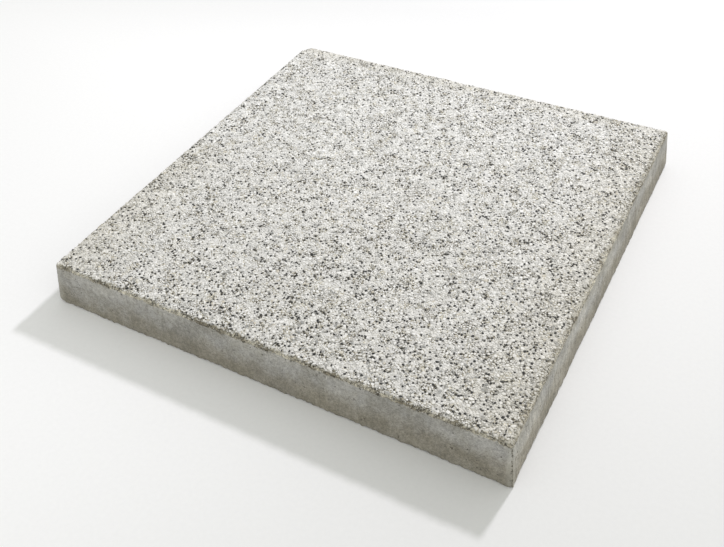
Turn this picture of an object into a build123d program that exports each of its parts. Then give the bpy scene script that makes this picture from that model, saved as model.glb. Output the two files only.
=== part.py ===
from build123d import *
from math import atan, degrees, hypot
import os

# Concrete paving slab with an exposed aggregate face, cast in one piece in a tapered mould.
# Millimetres. The slab lies face up on its foot. The origin is the middle of the foot, +Z is up,
# +X runs along the left front side from the left corner to the front corner, and +Y from the
# front corner to the right corner.

# The slab measured over its foot, the wide side, which lies in the bedding
slab_length = 500.0
slab_width = 500.0
slab_thickness = 50.0

# The mould widens towards the foot, so that the slab drops out: how far each side leans in
side_draft = 6.5

# The four upright edges keep one radius from the face to the foot
upright_edge_radius = 2.0

# The arrises, the long edges between the sides and the two flats, are worn round
face_arris_radius = 1.7
foot_arris_radius = 1.6

# The back corner of the face is knocked off: how far the break runs along the two sides and down
chip_along_left = 15.0
chip_along_back = 10.0
chip_depth = 16.0

# A round arris stays a little tighter than the upright edge that it turns
arris_share_of_edge = 0.85

# The mould wall, and the sharp edges that the wall would have without its worn arrises
lean = side_draft / slab_thickness
widest_arris = arris_share_of_edge * upright_edge_radius
face_arris = min(face_arris_radius, widest_arris)
foot_arris = min(foot_arris_radius, widest_arris)
worn_off_foot = foot_arris * (lean + hypot(1, lean) - 1)
foot_length = slab_length + 2 * worn_off_foot
foot_width = slab_width + 2 * worn_off_foot
face_length = foot_length - 2 * side_draft
face_width = foot_width - 2 * side_draft


def moulded_block():
    """The outline of the foot drawn upwards with the lean of the mould walls, its upright edges rounded."""
    foot_outline = Rectangle(foot_length, foot_width)
    block = extrude(foot_outline, amount=slab_thickness, taper=degrees(atan(lean)))
    between_foot_and_face = 1
    upright_edges = block.edges().group_by(Axis.Z)[between_foot_and_face]
    return fillet(upright_edges, upright_edge_radius)


def wear_arrises(block):
    """Round the edges of the face, then those of the foot."""
    face_edges = block.faces().sort_by(Axis.Z)[-1].edges()
    block = fillet(face_edges, face_arris)
    foot_edges = block.faces().sort_by(Axis.Z)[0].edges()
    return fillet(foot_edges, foot_arris)


def knock_off_back_corner(block):
    """Break the back corner of the face away along one slanted plane."""
    corner = Vector(-face_length / 2, face_width / 2, slab_thickness)
    on_left_side = corner - Vector(0, chip_along_left, 0)
    on_back_side = corner + Vector(chip_along_back, 0, 0)
    down_the_corner = corner + Vector(-lean, lean, -1) * chip_depth
    away_from_slab = (on_back_side - on_left_side).cross(down_the_corner - on_left_side)
    break_plane = Plane(origin=on_left_side, z_dir=away_from_slab)
    return split(block, bisect_by=break_plane, keep=Keep.BOTTOM)


def paving_slab():
    return knock_off_back_corner(wear_arrises(moulded_block()))


os.makedirs("parts", exist_ok=True)
export_step(paving_slab(), "parts/paving_slab.step")
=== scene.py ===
# %% [markdown]
# # A concrete paving slab with an exposed aggregate face
#
# The slab is one casting. In the yard its face is washed before the cement is hard, so that the
# stone chippings stand out of a slightly lower bed of cement and sand. The sides keep the smooth
# skin of the mould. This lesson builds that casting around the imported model, which gives its size.
#
# The order is: sizes, the cast body, the chippings, the finishes, and then floor, light and camera.

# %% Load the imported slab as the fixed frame
import math

import bmesh
import bpy
import numpy as np
from mathutils import Matrix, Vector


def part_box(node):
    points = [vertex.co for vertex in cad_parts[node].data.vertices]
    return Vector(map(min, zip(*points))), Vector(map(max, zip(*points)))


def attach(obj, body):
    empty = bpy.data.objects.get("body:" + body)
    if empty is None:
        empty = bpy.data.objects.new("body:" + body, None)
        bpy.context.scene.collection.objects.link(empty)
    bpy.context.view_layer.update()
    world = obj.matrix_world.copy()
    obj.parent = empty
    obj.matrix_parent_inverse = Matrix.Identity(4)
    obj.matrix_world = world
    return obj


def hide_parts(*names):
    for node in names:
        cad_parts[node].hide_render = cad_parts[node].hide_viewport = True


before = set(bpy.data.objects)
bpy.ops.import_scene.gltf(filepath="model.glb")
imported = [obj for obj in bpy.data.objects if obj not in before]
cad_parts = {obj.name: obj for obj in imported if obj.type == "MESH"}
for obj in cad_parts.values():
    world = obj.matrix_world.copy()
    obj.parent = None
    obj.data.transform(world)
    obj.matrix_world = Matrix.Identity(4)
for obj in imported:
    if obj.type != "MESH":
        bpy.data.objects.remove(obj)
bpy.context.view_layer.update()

# %% [markdown]
# ## Sizes
#
# The frame gives the overall size. The lean of the mould walls and the radius of the upright edges
# belong to this slab, so they are named here. At every height the middles of the four corner rounds
# make a square. Its half side is `square_at`, and the wall lies one radius outside it. That makes the
# whole wall a profile swept around a square that grows towards the foot.

# %% Sizes, worked out from the frame
MM = 0.001
HALF_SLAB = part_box("paving_slab")[1].x
FACE_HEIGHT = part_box("paving_slab")[1].z

SIDE_DRAFT = 6.5 * MM
UPRIGHT_RADIUS = 2.0 * MM
FOOT_ARRIS = 1.6 * MM
WASH_DEPTH = 0.7 * MM

LEAN = SIDE_DRAFT / FACE_HEIGHT
BED_HEIGHT = FACE_HEIGHT - WASH_DEPTH
HALF_FACE = HALF_SLAB + FOOT_ARRIS * (LEAN + math.hypot(1, LEAN) - 1) - SIDE_DRAFT


def square_at(height):
    """Half the side of the square between the corner rounds, at a height."""
    return HALF_FACE - UPRIGHT_RADIUS + LEAN * (FACE_HEIGHT - height)


print(f"face {2 * HALF_FACE / MM:.1f} mm, slab {2 * HALF_SLAB / MM:.1f} mm")
print(f"washed bed at {BED_HEIGHT / MM:.1f} mm")

# %% [markdown]
# ## Random but repeatable unevenness
#
# Concrete is uneven at every scale, and a shape made in code needs a source of that unevenness.
# Blender's Displace modifier could do it, but the stones have to follow the same worn edge as the
# body, so both ask one function. It is value noise: random numbers at the corners of a lattice,
# blended smoothly in between. The same seed always gives the same slab.

# %% A smooth noise function
NOISE_PERIOD = 64


def noise(points, cell, seed):
    """Smooth random values from -1 to 1 that change over about one cell."""
    lattice = np.random.default_rng(seed).uniform(-1, 1, (NOISE_PERIOD,) * 3)
    at = points / cell
    low = np.floor(at).astype(int)
    part = at - low
    part = part * part * (3 - 2 * part)
    value = np.zeros(len(points))
    for corner in np.ndindex(2, 2, 2):
        share = np.where(corner, part, 1 - part).prod(axis=1)
        x, y, z = ((low + corner) % NOISE_PERIOD).T
        value += share * lattice[x, y, z]
    return value


def flat_noise(x, y, cell, seed):
    """The same noise, read on a level plane."""
    return noise(np.stack([x, y, np.zeros_like(x)], axis=-1), cell, seed)


sample = flat_noise(np.linspace(0, 0.1, 50), np.zeros(50), 3 * MM, 1)
print(f"noise runs from {sample.min():.2f} to {sample.max():.2f}")

# %% [markdown]
# ## The cast body
#
# The body is the casting without its exposed stones: a washed bed on top, four leaning sides with
# worn arrises, and the foot. It could be a cube with bevels and a Displace modifier, but then the
# fine mesh that the sides and arrises need would also cover the hidden bed. Here a profile is swept
# around the inner square in fine steps, and the two flats are closed with coarser grids.
#
# First come the columns, which are the steps around the slab.

# %% Columns around the slab
SIDE_CELLS = 312
CORNER_CELLS = 6


def columns():
    """For each column, its place on a square of half side 1, and the way outwards."""
    roots, outwards = [], []
    for side in range(4):
        heading = side * math.pi / 2
        along = np.array([math.cos(heading), math.sin(heading)])
        outward = np.array([math.sin(heading), -math.cos(heading)])
        for share in np.linspace(-1, 1, SIDE_CELLS + 1):
            roots.append(outward + share * along)
            outwards.append(outward)
        for turn in np.linspace(0, math.pi / 2, CORNER_CELLS + 1)[1:-1]:
            roots.append(outward + along)
            outwards.append(math.cos(turn) * outward + math.sin(turn) * along)
    return np.array(roots), np.array(outwards)


def beside(root, outward, reach, height):
    """The place of a column at a height, a reach outside the square. Inside it the square shrinks."""
    square = square_at(height) + np.minimum(reach, 0)
    level = square[..., None] * root + np.maximum(reach, 0)[..., None] * outward
    return np.concatenate([level, height[..., None]], axis=-1)


roots, outwards = columns()
PER_SIDE = SIDE_CELLS + CORNER_CELLS
print(len(roots), "columns,", f"{2 * square_at(0) / SIDE_CELLS / MM:.2f} mm apart at the foot")

# %% [markdown]
# The profile runs from the washed bed over the worn arris, down the side, round the foot and under
# it. The arris of the face is where the wash and the handling bite, so its radius changes along the
# slab. Each point also gets the direction that faces out of the slab there, for the unevenness.

# %% The profile that is swept
ARRIS = 2.0 * MM
ARRIS_CHANGE = 1.3 * MM
ARRIS_CELL = 11 * MM
BLUNTNESS = 0.75
INNER_RIM = -3.0 * MM
BED_RIM_CELLS, FACE_ARRIS_CELLS, WALL_CELLS, FOOT_ARRIS_CELLS, FOOT_RIM_CELLS = 2, 6, 32, 4, 3
CROWDING = 1.4


def straight(start, end, cells, crowding=1.0):
    """Points between two ends, without the ends, crowded towards the start."""
    share = (np.linspace(0, 1, cells + 1)[1:-1] ** crowding)[:, None, None]
    return start + share * (end - start)


def round_over(corner, back, ahead, cells):
    """Points that turn round a corner, from corner + back to corner + ahead."""
    t = np.linspace(0, 1, cells + 1)[:, None, None]
    before, middle, after = (1 - t) ** 2, 2 * t * (1 - t) * BLUNTNESS, t * t
    return corner + (before * back + after * ahead) / (before + middle + after)


def profile():
    """Rows of (reach, height) for every column, and the way out of the slab at each."""
    one = np.ones(len(roots))[:, None]
    face_edge = one * [UPRIGHT_RADIUS, BED_HEIGHT]
    foot_edge = one * [UPRIGHT_RADIUS, 0]
    at_edge = beside(roots, outwards, face_edge[:, 0], face_edge[:, 1])
    face_arris = (ARRIS + ARRIS_CHANGE * noise(at_edge, ARRIS_CELL, 5))[:, None]
    over_face = round_over(face_edge, face_arris * [-1, 0], face_arris * [0, -1], FACE_ARRIS_CELLS)
    foot_arris = FOOT_ARRIS * one
    over_foot = round_over(foot_edge, foot_arris * [0, 1], foot_arris * [-1, 0], FOOT_ARRIS_CELLS)
    inner_bed, inner_foot = one * [INNER_RIM, BED_HEIGHT], one * [INNER_RIM, 0]
    rows = np.concatenate([
        inner_bed[None],
        straight(inner_bed, over_face[0], BED_RIM_CELLS),
        over_face,
        straight(over_face[-1], over_foot[0], WALL_CELLS, CROWDING),
        over_foot,
        straight(over_foot[-1], inner_foot, FOOT_RIM_CELLS),
        inner_foot[None],
    ])
    ahead = np.gradient(rows, axis=0)
    facing = np.stack([-ahead[..., 1], ahead[..., 0]], axis=-1)
    facing[[0, -1]] = [[[0, 1]], [[0, -1]]]
    return rows, facing / np.linalg.norm(facing, axis=-1, keepdims=True)


rows, facing = profile()
print(rows.shape[0], "rows of", rows.shape[1], "columns")

# %% [markdown]
# Next the swept points are turned into places in space, and made uneven. The mould's skin is nearly
# flat: a slow wave and a fine ripple of a tenth of a millimetre. Near the two arrises the cement is
# crumbled, so lumps are added there, and smaller ones all over the washed bed.
#
# The same crumbling serves the bed and the foot, so it is one function of a place, the way out and
# the height.

# %% Unevenness of the casting
WAVE, WAVE_CELL = 0.25 * MM, 42 * MM
RIPPLE, RIPPLE_CELL = 0.09 * MM, 4 * MM
LUMP, LUMP_CELL = 0.9 * MM, 3.4 * MM
CRUMB, CRUMB_CELL = 0.36 * MM, 1.7 * MM
ARRIS_BAND = 3.4 * MM
FOOT_BAND = 3.0 * MM
FOOT_CRUMBLE = 1.2
BED_CRUMBLE, BED_BORDER = 0.3, 6 * MM
BED_WAVE = 0.2
CRUMBLED_AWAY = 0.4


def fading(distance, band):
    """A share that is 1 where the distance is 0, and fades out past the width of a band."""
    return np.exp(-(distance / band) ** 2)


def unevenness(places):
    """How far each place stands out of the ideal surface."""
    height = places[:, 2]
    inside = np.maximum(HALF_FACE - np.abs(places[:, :2]).max(axis=1), 0)
    at_border = fading(inside, BED_BORDER)
    at_face = (BED_CRUMBLE + (1 - BED_CRUMBLE) * at_border) * fading(height - BED_HEIGHT, ARRIS_BAND)
    at_foot = FOOT_CRUMBLE * fading(height, FOOT_BAND)
    crumbled = np.maximum(at_face, at_foot)
    wave = (BED_WAVE + (1 - BED_WAVE) * at_border) * WAVE
    skin = wave * noise(places, WAVE_CELL, 21) + RIPPLE * noise(places, RIPPLE_CELL, 22)
    lumps = LUMP * noise(places, LUMP_CELL, 23) + CRUMB * noise(places, CRUMB_CELL, 24)
    return skin + crumbled * (lumps - CRUMBLED_AWAY * LUMP)


def swept_places():
    """Every row and column as a place in space, one row after the other."""
    places = beside(roots, outwards, rows[..., 0], rows[..., 1]).reshape(-1, 3)
    out = np.concatenate([facing[..., :1] * outwards, facing[..., 1:]], axis=-1).reshape(-1, 3)
    return places + unevenness(places)[:, None] * out


def flat_grid(cells, height, up):
    """The inner points of a square grid that closes one flat, made uneven in the same way."""
    line = (square_at(height) + INNER_RIM) * np.linspace(-1, 1, cells + 1)[1:-1]
    x, y = (axis.ravel() for axis in np.meshgrid(line, line, indexing="ij"))
    places = np.stack([x, y, np.full_like(x, height)], axis=-1)
    places[:, 2] += up * unevenness(places)
    return places


wall_places = swept_places()
print(len(wall_places), "swept points, lowest at", f"{wall_places[:, 2].min() / MM:.2f} mm")

# %% [markdown]
# The flats are closed by grids with fewer cells than the sides have columns. So that no gap opens
# between coarse and fine, a cell at the rim takes in the extra points of the swept rim as corners
# of its own polygon. The mesh stays closed, as a casting is.

# %% Faces of the body
BED_CELLS = 104
FOOT_CELLS = 39


def wall_faces():
    """Quads between the rows, all round the slab."""
    count = len(roots)
    this = np.arange(count)
    after = (this + 1) % count
    bands = [np.stack([row * count + this, (row + 1) * count + this,
                       (row + 1) * count + after, row * count + after], axis=-1)
             for row in range(len(rows) - 1)]
    return np.concatenate(bands).tolist()


def rim_column(side, share, cells):
    """The column at a share of one side, counted in cells of the flat grid."""
    return side * PER_SIDE + share * SIDE_CELLS // cells


def flat_faces(cells, rim_first, inner_first, up):
    """Polygons that close a flat. Cells at the rim share every point of the finer sides."""

    def point(i, j):
        """The point at a corner of the grid: one of the rim's own at the border."""
        at_rim = [(j == 0, i), (i == cells, j), (j == cells, cells - i), (i == 0, cells - j)]
        for side, (is_there, share) in enumerate(at_rim):
            if is_there:
                return rim_first + rim_column(side, share, cells) % len(roots)
        return inner_first + (i - 1) * (cells - 1) + j - 1

    def edge(start, end, side, share):
        """The points from one corner of a cell towards the next, with the rim's own between."""
        if side is None:
            return [point(*start)]
        first = rim_first + rim_column(side, share, cells)
        return list(range(first, first + SIDE_CELLS // cells))

    faces = []
    for i in range(cells):
        for j in range(cells):
            last = cells - 1
            ring = edge((i, j), (i + 1, j), 0 if j == 0 else None, i)
            ring += edge((i + 1, j), (i + 1, j + 1), 1 if i == last else None, j)
            ring += edge((i + 1, j + 1), (i, j + 1), 2 if j == last else None, last - i)
            ring += edge((i, j + 1), (i, j), 3 if i == 0 else None, last - j)
            faces.append(ring if up else ring[::-1])
    return faces


bed_places = flat_grid(BED_CELLS, BED_HEIGHT, 1)
foot_places = flat_grid(FOOT_CELLS, 0, -1)
last_rim = (len(rows) - 1) * len(roots)
bed_first = len(wall_places)
foot_first = bed_first + len(bed_places)
body_faces = wall_faces()
body_faces += flat_faces(BED_CELLS, 0, bed_first, True)
body_faces += flat_faces(FOOT_CELLS, last_rim, foot_first, False)
body_places = np.concatenate([wall_places, bed_places, foot_places])
print(len(body_places), "points and", len(body_faces), "faces")

# %% [markdown]
# Three kinds of damage are worked into these points. The back corner of the face is broken off along
# a slanted plane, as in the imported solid, so points beyond that plane are pulled back onto it. The
# corners of the foot are blunted in the same way. Small chips along the arris are balls of missing
# cement: points inside a ball move out to its skin. A Boolean would do all of this, but moving points
# keeps the even mesh. At last the foot is pressed flat at height 0, because the slab rests on it.

# %% The broken corner, the blunt foot corners and the chips
CHIP_ALONG_LEFT = 15 * MM
CHIP_ALONG_BACK = 10 * MM
CHIP_DEPTH = 16 * MM
BREAK_ROUGHNESS = 0.5 * MM
FOOT_CORNERS_OFF = {(-1, -1): 3.4 * MM, (1, -1): 1.2 * MM, (1, 1): 2.2 * MM, (-1, 1): 2.8 * MM}
CHIP_COUNT = 120
CHIP_SMALLEST, CHIP_LARGEST = 1.6 * MM, 4.2 * MM
CHIP_ABOVE, CHIP_OUTSIDE = 0.3, 0.35
FEW_LARGE = 2


def break_planes():
    """A point of each break and the way out of the slab there. The back corner of the face is first."""
    corner = np.array([-HALF_FACE, HALF_FACE, FACE_HEIGHT])
    on_left = corner - [0, CHIP_ALONG_LEFT, 0]
    on_back = corner + [CHIP_ALONG_BACK, 0, 0]
    below = corner + CHIP_DEPTH * np.array([-LEAN, LEAN, -1])
    planes = [(on_left, np.cross(on_back - on_left, below - on_left))]
    for (x, y), off in FOOT_CORNERS_OFF.items():
        out = np.array([x, y, -1.0])
        tip = np.array([x * HALF_SLAB, y * HALF_SLAB, 0])
        planes.append((tip - off * out / np.linalg.norm(out), out))
    return [(point, out / np.linalg.norm(out)) for point, out in planes]


def beyond_break(places, plane):
    """How far places lie outside a broken corner."""
    on_plane, out = plane
    rough = BREAK_ROUGHNESS * noise(places, LUMP_CELL, 25)
    return (places - on_plane) @ out + rough


def skewed(rng, smallest, largest, count, power=FEW_LARGE):
    """Random sizes between two limits. The higher the power, the fewer of them are large."""
    return smallest + (largest - smallest) * rng.random(count) ** power


def at_columns(column, reach, height):
    """Places at some columns of the wall, given by number."""
    return beside(roots[column], outwards[column], reach, height)


def chips():
    """Middles and radii of the small chips along the arris of the face."""
    rng = np.random.default_rng(31)
    column = rng.integers(0, len(roots), CHIP_COUNT)
    radius = skewed(rng, CHIP_SMALLEST, CHIP_LARGEST, CHIP_COUNT)
    reach = UPRIGHT_RADIUS + CHIP_OUTSIDE * radius
    return at_columns(column, reach, BED_HEIGHT + CHIP_ABOVE * radius), radius


def broken_off(places):
    """The places after the corners broke and the chips came out."""
    for plane in break_planes():
        beyond = np.maximum(beyond_break(places, plane), 0)
        places = places - beyond[:, None] * plane[1]
    for middle, radius in zip(*chips()):
        arm = places - middle
        length = np.linalg.norm(arm, axis=1)
        inside = length < radius
        places[inside] = middle + arm[inside] * (radius / length[inside])[:, None]
    places[:, 2] = np.maximum(places[:, 2], 0)
    return places


body_places = broken_off(body_places)
print(CHIP_COUNT, "chips and", len(break_planes()), "blunt corners")

# %% [markdown]
# The points become a mesh. At the corners of the square many columns meet in one point, so doubled
# points are merged. Air that was trapped against the mould left small round holes in the sides, and
# grains that fell out left sharper pits along the arris. In the face a few stones are lost as well.
# All of these are smaller than the mesh is fine, so they are cut with a Boolean modifier: they are
# lumps in one cutter mesh, and the Manifold solver takes them out in one go. It is quick only while
# no two lumps of the cutter overlap.

# %% Body mesh with its air holes and pits
AIR_HOLES = 150
HOLE_SMALLEST, HOLE_LARGEST = 0.5 * MM, 1.6 * MM
HOLE_MARGIN = 4 * MM
LOST_STONES = 90
LOST_SMALLEST, LOST_LARGEST = 0.9 * MM, 2.1 * MM
LOST_MARGIN = 8 * MM
HOLES_SMALL = 2.4
ARRIS_PITS = 1100
FLATTEST, LUMPINESS = 0.7, 1.3
PIT_SMALLEST, PIT_LARGEST = 0.45 * MM, 1.4 * MM
PIT_BAND, PITS_HIGH = 6.5 * MM, 1.8
PIT_INNERMOST, PIT_OUTERMOST = -1.2, 0.4
UPRIGHT_PITS = 70
DOUBLED_WITHIN = 0.0001 * MM


def new_piece(name, places, faces):
    """A mesh object from points and faces."""
    mesh = bpy.data.meshes.new(name)
    mesh.from_pydata(places, [], faces)
    piece = bpy.data.objects.new(name, mesh)
    bpy.context.scene.collection.objects.link(piece)
    return piece


def merge_doubles(piece):
    """Join points that lie in one place."""
    work = bmesh.new()
    work.from_mesh(piece.data)
    bmesh.ops.remove_doubles(work, verts=work.verts, dist=DOUBLED_WITHIN)
    work.to_mesh(piece.data)
    work.free()


def ball(subdivisions):
    """Points and faces of a ball. The coarsest is an icosahedron, with 20 faces."""
    work = bmesh.new()
    bmesh.ops.create_icosphere(work, subdivisions=subdivisions, radius=1)
    points = np.array([vertex.co for vertex in work.verts])
    faces = np.array([[vertex.index for vertex in face.verts] for face in work.faces])
    work.free()
    return points, faces


def copies_of(solid, middles, sizes):
    """Points and faces of many copies of a solid, each with its own place and its own three sizes."""
    points, faces = solid
    places = middles[:, None] + points * sizes[:, None]
    every = faces + len(points) * np.arange(len(middles))[:, None, None]
    return places.reshape(-1, 3), every.reshape(-1, 3)


def air_holes(rng):
    """Where the air holes are, and how large."""
    column = rng.integers(0, len(roots), AIR_HOLES)
    radius = skewed(rng, HOLE_SMALLEST, HOLE_LARGEST, AIR_HOLES, HOLES_SMALL)
    height = rng.uniform(HOLE_MARGIN, BED_HEIGHT - HOLE_MARGIN, AIR_HOLES)
    return at_columns(column, UPRIGHT_RADIUS, height), radius


def lost_stones():
    """Where stones fell out of the face, and how large they were."""
    rng = np.random.default_rng(43)
    limit = HALF_FACE - LOST_MARGIN
    places = rng.uniform(-limit, limit, (LOST_STONES, 2))
    radius = skewed(rng, LOST_SMALLEST, LOST_LARGEST, LOST_STONES)
    return np.c_[places, np.full(LOST_STONES, BED_HEIGHT)], radius


def arris_pits(rng):
    """Where grains fell out along the arris of the face, and how large they were."""
    column = rng.integers(0, len(roots), ARRIS_PITS)
    radius = rng.uniform(PIT_SMALLEST, PIT_LARGEST, ARRIS_PITS)
    height = BED_HEIGHT - skewed(rng, 0, PIT_BAND, ARRIS_PITS, PITS_HIGH)
    reach = UPRIGHT_RADIUS + rng.uniform(PIT_INNERMOST, PIT_OUTERMOST, ARRIS_PITS) * radius
    return at_columns(column, reach, height), radius


def upright_pits(rng):
    """Where grains fell out of the four upright edges, and how large they were."""
    side = rng.integers(0, 4, UPRIGHT_PITS)
    column = side * PER_SIDE + SIDE_CELLS + CORNER_CELLS // 2
    radius = skewed(rng, PIT_SMALLEST, PIT_LARGEST, UPRIGHT_PITS)
    return at_columns(column, UPRIGHT_RADIUS, rng.uniform(HOLE_MARGIN, BED_HEIGHT, UPRIGHT_PITS)), radius


def none_overlap(middles, radii):
    """Which lumps to keep, so that none of them touches one that was kept before it."""
    kept = []
    for number, (middle, radius) in enumerate(zip(middles, radii)):
        gap = np.linalg.norm(middles[kept] - middle, axis=1)
        if (gap > LUMPINESS * (radii[kept] + radius)).all():
            kept.append(number)
    return kept


def damage_cutter():
    """All holes as flattened balls, and all pits as sharper lumps, in one mesh."""
    rng = np.random.default_rng(41)
    sites = [air_holes(rng), lost_stones(), upright_pits(rng), arris_pits(rng)]
    middles, radius = (np.concatenate(both) for both in zip(*sites))
    kept = np.array(none_overlap(middles, radius))
    sizes = radius[:, None] * rng.uniform(FLATTEST, LUMPINESS, (len(radius), 3))
    is_hole = kept < AIR_HOLES + LOST_STONES
    holes, pits = kept[is_hole], kept[~is_hole]
    round_places, round_faces = copies_of(ball(2), middles[holes], sizes[holes])
    sharp_places, sharp_faces = copies_of(ball(1), middles[pits], sizes[pits])
    places = np.concatenate([round_places, sharp_places])
    faces = np.concatenate([round_faces, sharp_faces + len(round_places)])
    print(len(holes), "holes and", len(pits), "pits")
    return new_piece("damage_cutter", places, faces.tolist())


def cut_out(piece, cutter):
    """Take the cutter out of the piece for good. The solver leaves a mesh that isn't closed as it was."""
    cut = piece.modifiers.new("holes and pits", "BOOLEAN")
    cut.operation = "DIFFERENCE"
    cut.solver = "MANIFOLD"
    cut.object = cutter
    ready = piece.evaluated_get(bpy.context.evaluated_depsgraph_get())
    before, piece.data = piece.data, bpy.data.meshes.new_from_object(ready)
    if len(piece.data.polygons) == len(before.polygons):
        raise RuntimeError(f"{piece.name} was not cut, because it isn't closed")
    piece.modifiers.clear()
    bpy.data.meshes.remove(before)
    bpy.data.objects.remove(cutter)


def triangles(piece):
    """How many triangles the faces of a piece come to."""
    return sum(face.loop_total - 2 for face in piece.data.polygons)


cast_body = new_piece("cast_body", body_places, body_faces)
merge_doubles(cast_body)
cut_out(cast_body, damage_cutter())
cast_body.data.name = "cast_body"
cast_body.data.shade_smooth()
print("cast_body has", triangles(cast_body), "triangles")

# %% [markdown]
# ## Where the chippings lie
#
# The face shows crushed stone of about 1 to 5 mm, packed side by side. Random places alone would
# leave gaps and heaps. Geometry Nodes could spread them by Poisson disk, which keeps the stones
# apart but not close. Here the stones start on a jittered grid, each with a size of its own, and
# then push their neighbours away wherever they overlap, as they do when the face is tamped. The mix
# isn't the same everywhere: it comes in slow clouds, and is a little coarser towards the front corner.
#
# Each stone also draws a lot, which later picks its kind. The lots go up in uneven steps from one cell
# of the grid to the next, so that neighbours seldom have like ones. A well stirred mix looks like that.

# %% Sizes and places of the chippings
STONE_SPACING = 2.20 * MM
STONE_SIZE = 1.97 * MM
STONE_SPREAD = 0.36
STONE_SMALLEST, STONE_LARGEST = 1.1 * MM, 5.0 * MM
TAMPING_ROUNDS = 24
PUSH_SHARE, LEAST_GAP = 0.25, 0.01 * MM
STONE_INSIDE = 0.8
CLOUD_CELL = 46 * MM
COARSE_CLOUDS = 0.03
COARSER_TO_FRONT = 0.06
LOT_STEPS = (0.7549, 0.5698)
LOT_JITTER = 0.4


def to_front(x, y):
    """From -1 at the back corner to 1 at the front corner."""
    return (x - y) / (2 * HALF_FACE)


def overlapping(across, step):
    """Two windows of a grid whose cells lie one step apart."""
    def window(shift, size):
        """The part of one axis that still has a neighbour after the shift."""
        return slice(max(0, shift), size + min(0, shift))

    one = tuple(window(-shift, across) for shift in step)
    other = tuple(window(shift, across) for shift in step)
    return one, other


def tamp(places, radii):
    """Push overlapping stones apart, round after round."""
    steps = [(0, 1), (0, 2)] + [(i, j) for i in (1, 2) for j in range(-2, 3)]
    for _ in range(TAMPING_ROUNDS):
        push = np.zeros_like(places)
        for step in steps:
            one, other = overlapping(len(places), step)
            gap = places[other] - places[one]
            apart = np.linalg.norm(gap, axis=-1)
            overlap = np.clip(radii[one] + radii[other] - apart, 0, None)
            move = gap * (PUSH_SHARE * overlap / np.maximum(apart, LEAST_GAP))[..., None]
            push[one] -= move
            push[other] += move
        limit = (HALF_FACE - STONE_INSIDE * radii)[..., None]
        places = np.clip(places + push, -limit, limit)
    return places


def spread_stones():
    """Places in plan and radii of the chippings, and the lot from 0 to 1 that decides the kind of each."""
    rng = np.random.default_rng(51)
    across = round(2 * HALF_FACE / STONE_SPACING)
    line = HALF_FACE * ((2 * np.arange(across) + 1) / across - 1)
    places = np.stack(np.meshgrid(line, line, indexing="ij"), axis=-1)
    places += rng.uniform(-0.5, 0.5, places.shape) * STONE_SPACING
    x, y = places.reshape(-1, 2).T
    coarse = COARSE_CLOUDS * flat_noise(x, y, CLOUD_CELL, 72) + COARSER_TO_FRONT * to_front(x, y)
    spread = STONE_SPREAD * rng.standard_normal((across, across))
    size = STONE_SIZE * np.exp(spread + coarse.reshape(across, across))
    radii = np.clip(size, STONE_SMALLEST, STONE_LARGEST) / 2
    row, column = np.indices((across, across))
    lots = (row * LOT_STEPS[0] + column * LOT_STEPS[1] + LOT_JITTER * rng.random((across, across))) % 1
    return tamp(places, radii).reshape(-1, 2), radii.ravel(), lots.ravel()


stone_places, stone_radii, stone_lots = spread_stones()
cover = np.pi * (stone_radii ** 2).sum() / (2 * HALF_FACE) ** 2
print(len(stone_places), "stones that cover", f"{100 * cover:.0f}% of the face")

# %% [markdown]
# Stones lie level with the face, because they were cast against a flat mould, but not exactly.
# Towards the arris they follow its round. Many are missing there, in a border that is wider here and
# narrower there, and none is left where the corner broke off or a chip came out.

# %% Height of the stones, and which of them are missing
CROWN_CHANGE = 0.17 * MM
STONE_ARRIS = 2.8 * MM
MISSING_AT_ARRIS = 0.36
BARE_BORDER, BARE_CHANGE, BARE_CELL = 0.8 * MM, 1.8 * MM, 6 * MM
FINE_BELOW = 1.92 * MM
CLEAR_OF_BREAK, CLEAR_OF_HOLE = 0.2, 0.8


def edge_distance(x, y):
    """How far inside the outline of the face a place lies. The corners are round."""
    beyond_x, beyond_y = np.abs(x) - square_at(FACE_HEIGHT), np.abs(y) - square_at(FACE_HEIGHT)
    past_both = np.hypot(np.maximum(beyond_x, 0), np.maximum(beyond_y, 0))
    return UPRIGHT_RADIUS - np.where(past_both > 0, past_both, np.maximum(beyond_x, beyond_y))


def crown_height(x, y, rng):
    """Height of the top of each stone."""
    inside = np.clip(edge_distance(x, y), 0, STONE_ARRIS)
    drop = STONE_ARRIS - np.sqrt(STONE_ARRIS ** 2 - (STONE_ARRIS - inside) ** 2)
    return FACE_HEIGHT - drop - CROWN_CHANGE * np.abs(rng.standard_normal(len(x)))


def still_there(x, y, radii, rng):
    """Which stones weren't lost at the arris, the chips or the broken corner."""
    inside = edge_distance(x, y)
    bare = BARE_BORDER + BARE_CHANGE * flat_noise(x, y, BARE_CELL, 73)
    kept = (inside > bare) & ((inside > STONE_ARRIS) | (rng.random(len(x)) > MISSING_AT_ARRIS))
    places = np.stack([x, y, np.full_like(x, FACE_HEIGHT)], axis=-1)
    kept &= beyond_break(places, break_planes()[0]) < -CLEAR_OF_BREAK * radii
    for middle, radius in [*zip(*chips()), *zip(*lost_stones())]:
        kept &= np.hypot(x - middle[0], y - middle[1]) > CLEAR_OF_HOLE * radius
    return kept


rng = np.random.default_rng(61)
kept = still_there(*stone_places.T, stone_radii, rng)
stone_places, stone_radii, stone_lots = stone_places[kept], stone_radii[kept], stone_lots[kept]
crowns = crown_height(*stone_places.T, rng)
fine = 2 * stone_radii < FINE_BELOW
print(len(kept) - kept.sum(), "stones are missing,", kept.sum(), "are left,", fine.sum(), "of them fine")

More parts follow.
